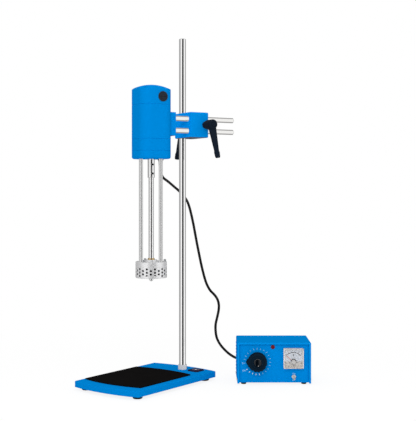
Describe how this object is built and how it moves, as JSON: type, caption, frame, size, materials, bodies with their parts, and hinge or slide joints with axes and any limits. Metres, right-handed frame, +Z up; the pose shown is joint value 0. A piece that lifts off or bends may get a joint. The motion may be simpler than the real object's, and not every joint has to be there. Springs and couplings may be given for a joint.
{
  "type": "high shear mixer",
  "caption": "Stand-mounted high shear mixer: motor on guide rods and a column clamp, perforated stator head with rotor, bench plate and separate speed control box.",
  "frame": {"origin": "on the bench, at the middle of the stand and the control box together", "axes": "+X to the right along the control box's front panel, +Y to the rear, +Z up"},
  "size_m": [0.5248, 0.3343, 0.791],
  "materials": {
    "blue_paint": "smooth semi-gloss blue enamel on castings and sheet",
    "chrome": "bright chromed round bar",
    "stainless": "ground stainless steel",
    "fastener_steel": "zinc plated steel",
    "core_steel": "stacked sheet steel",
    "black_rubber": "matt black rubber",
    "lever_plastic": "near-black glass filled plastic",
    "black_plastic": "black moulded plastic",
    "white_face": "white printed scale plate",
    "needle_red": "red lacquer",
    "lamp_red": "red lens in a dark bezel",
    "clear_cover": "clear moulded cover",
    "vial": "pale level vial",
    "bronze": "turned bronze",
    "copper": "enamelled copper winding"
  },
  "bodies": {
    "root": {"base_plate": "blue_paint", "rubber_feet": "black_rubber", "column_nut": "chrome", "rubber_mat": "black_rubber", "level_frame": "black_plastic", "level_vial": "vial", "box_cover": "blue_paint", "box_chassis": "blue_paint", "cover_screws": "fastener_steel", "speed_control": "black_plastic", "pilot_lamp": "lamp_red", "meter_case": "white_face", "meter_face": "white_face", "meter_window": "clear_cover", "switch_body": "chrome", "box_cord_boot": "black_rubber", "mains_inlet": "black_plastic", "fuse_holder": "black_plastic", "transformer": "core_steel", "cord_lower": "black_rubber"},
    "stand_column": {"column": "chrome", "column_screw": "fastener_steel", "cord_middle": "black_rubber"},
    "clamp": {"clamp_block": "blue_paint"},
    "rod_clamping_lever": {"rod_lever": "lever_plastic", "rod_lever_stud": "fastener_steel"},
    "column_clamping_lever": {"column_lever": "lever_plastic", "column_lever_stud": "fastener_steel"},
    "motor_head": {"guide_rods": "chrome", "rod_bracket": "blue_paint", "bracket_screws": "fastener_steel", "bottom_flange": "blue_paint", "lower_housing": "blue_paint", "main_housing": "blue_paint", "top_cap": "blue_paint", "through_bolts": "fastener_steel", "brush_caps": "black_plastic", "brush_gear": "bronze", "field_core": "core_steel", "field_coils": "copper", "bearings": "fastener_steel", "support_rods": "stainless", "head_plate": "stainless", "perforated_sleeve": "stainless", "head_fasteners": "stainless", "shaft_bush": "bronze", "motor_cord_boot": "black_rubber", "cord_upper": "black_rubber"},
    "rotating_shaft": {"motor_shaft": "fastener_steel", "armature": "core_steel", "commutator": "copper", "cooling_fan": "black_plastic", "shaft_coupling": "stainless", "set_screws": "fastener_steel", "mixing_shaft": "stainless", "rotor": "stainless", "tip_nut": "stainless"},
    "knob": {"speed_knob": "black_plastic"},
    "toggle": {"power_toggle": "chrome"},
    "needle": {"meter_needle": "needle_red"}
  },
  "joints": [
    {"name": "column_swivel", "type": "hinge", "parent": "root", "child": "stand_column", "pos_m": [-0.0304, 0.0819, 0.031], "axis": [0, 0, 1], "range_deg": [-35, 35], "deforming": ["cord_lower"]},
    {"name": "column_slide", "type": "slide", "parent": "stand_column", "child": "clamp", "axis": [0, 0, 1], "range_m": [-0.2, 0.16], "deforming": ["cord_middle"]},
    {"name": "rod_slide", "type": "slide", "parent": "clamp", "child": "motor_head", "axis": [0.866, 0.5, 0], "range_m": [-0.06, 0.026], "deforming": ["cord_upper"]},
    {"name": "rod_lever_turn", "type": "hinge", "parent": "clamp", "child": "rod_clamping_lever", "pos_m": [0.02297, 0.04066, 0.58715], "axis": [0.5, -0.866, 0], "range_deg": [-60, 60]},
    {"name": "column_lever_turn", "type": "hinge", "parent": "clamp", "child": "column_clamping_lever", "pos_m": [-0.01538, 0.10708, 0.58715], "axis": [-0.5, 0.866, 0], "range_deg": [-60, 60]},
    {"name": "rotor_spin", "type": "hinge", "parent": "motor_head", "child": "rotating_shaft", "pos_m": [-0.09774, -0.01426, 0.4], "axis": [0, 0, 1], "continuous": true},
    {"name": "speed_knob_turn", "type": "hinge", "parent": "root", "child": "knob", "pos_m": [0.1404, 0.001, 0.0518], "axis": [0, 1, 0], "range_deg": [0, 329]},
    {"name": "power_toggle_flip", "type": "hinge", "parent": "root", "child": "toggle", "pos_m": [0.2224, -0.004, 0.0181], "axis": [-1, 0, 0], "range_deg": [0, 25]},
    {"name": "meter_needle_swing", "type": "hinge", "parent": "root", "child": "needle", "pos_m": [0.2215, -0.002, 0.0514], "axis": [0, 1, 0], "range_deg": [0, 94], "stiffness_Nm_per_rad": 0.0005}
  ]
}
